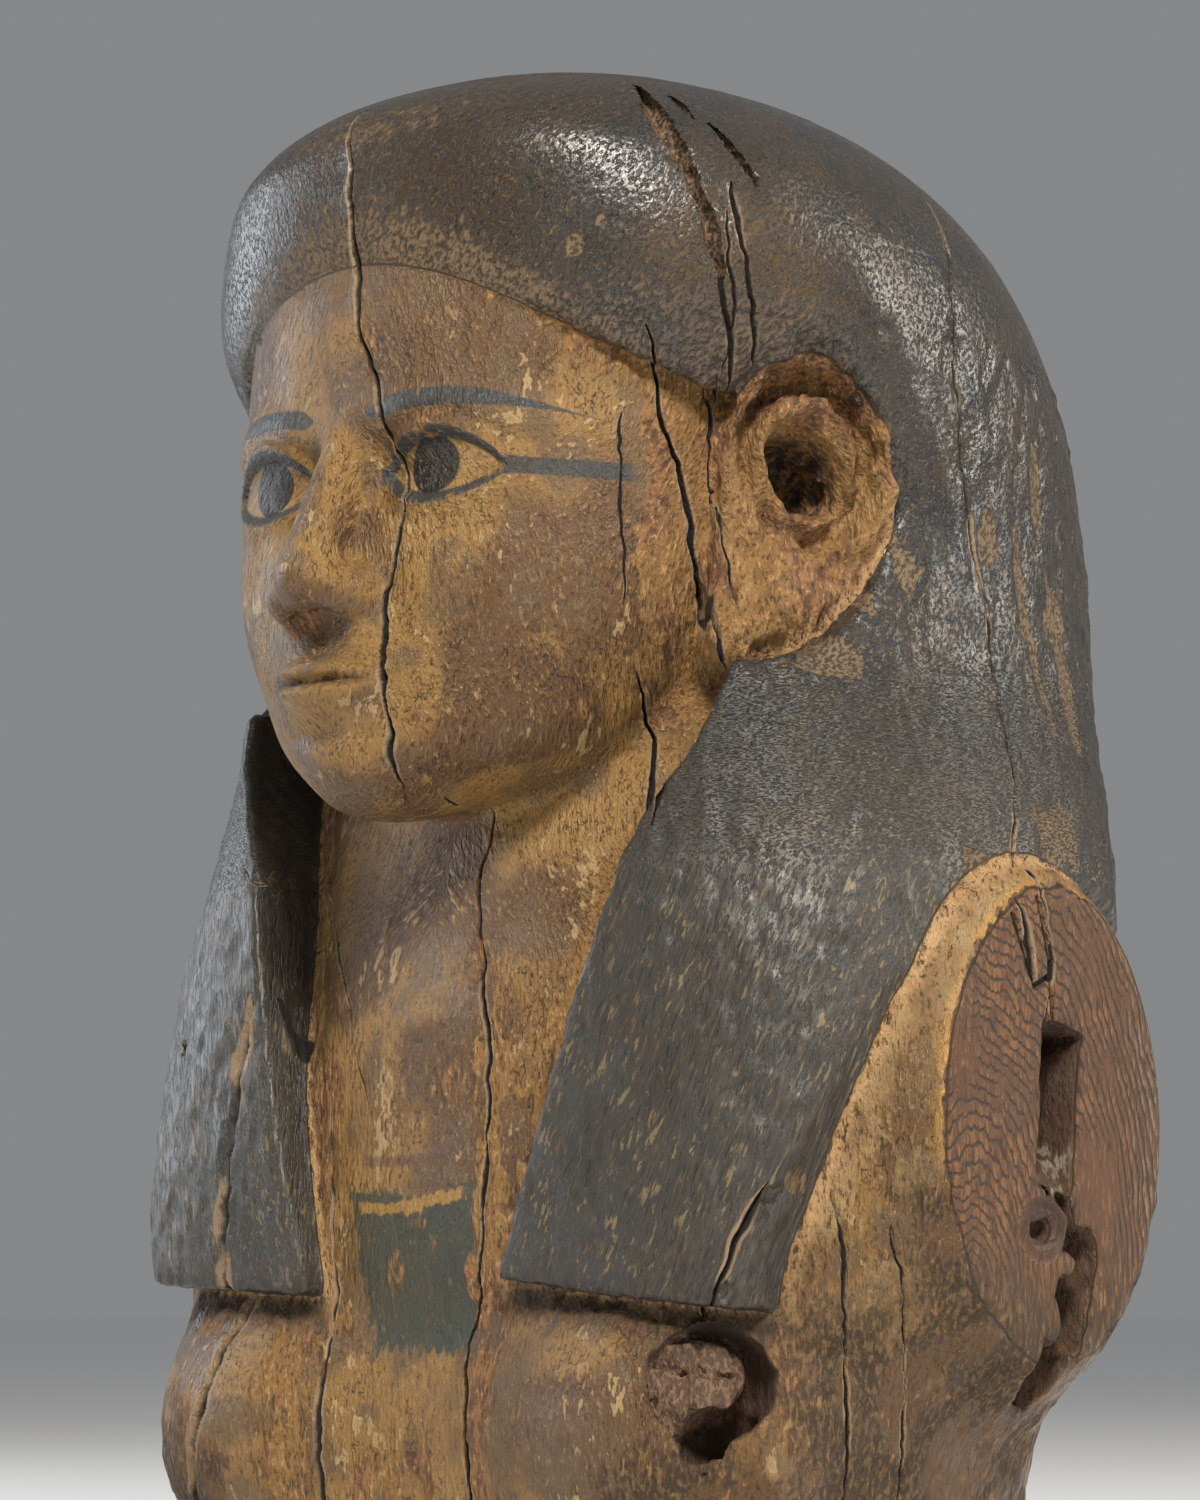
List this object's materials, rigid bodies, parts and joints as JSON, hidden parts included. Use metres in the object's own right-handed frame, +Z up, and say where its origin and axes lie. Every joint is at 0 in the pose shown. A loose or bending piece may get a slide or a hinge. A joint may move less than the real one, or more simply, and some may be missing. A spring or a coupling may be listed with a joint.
{
  "type": "offering bearer bust",
  "caption": "Carved wooden bust of an offering bearer in a long smooth wig, cut flat below the breasts, with flat mortised joints where the arms were fixed.",
  "frame": {"origin": "bottom centre of the bounding box, on the flat underside", "axes": "+Z up through the crown, the figure looks along -Y, +X is the figure's own left"},
  "size_m": [0.14, 0.13, 0.215],
  "materials": {
    "painted_wood": "worn ochre and blue-black paint over dark red-brown wood, satin"
  },
  "bodies": {
    "root": {"bust": "painted_wood"}
  },
  "joints": []
}
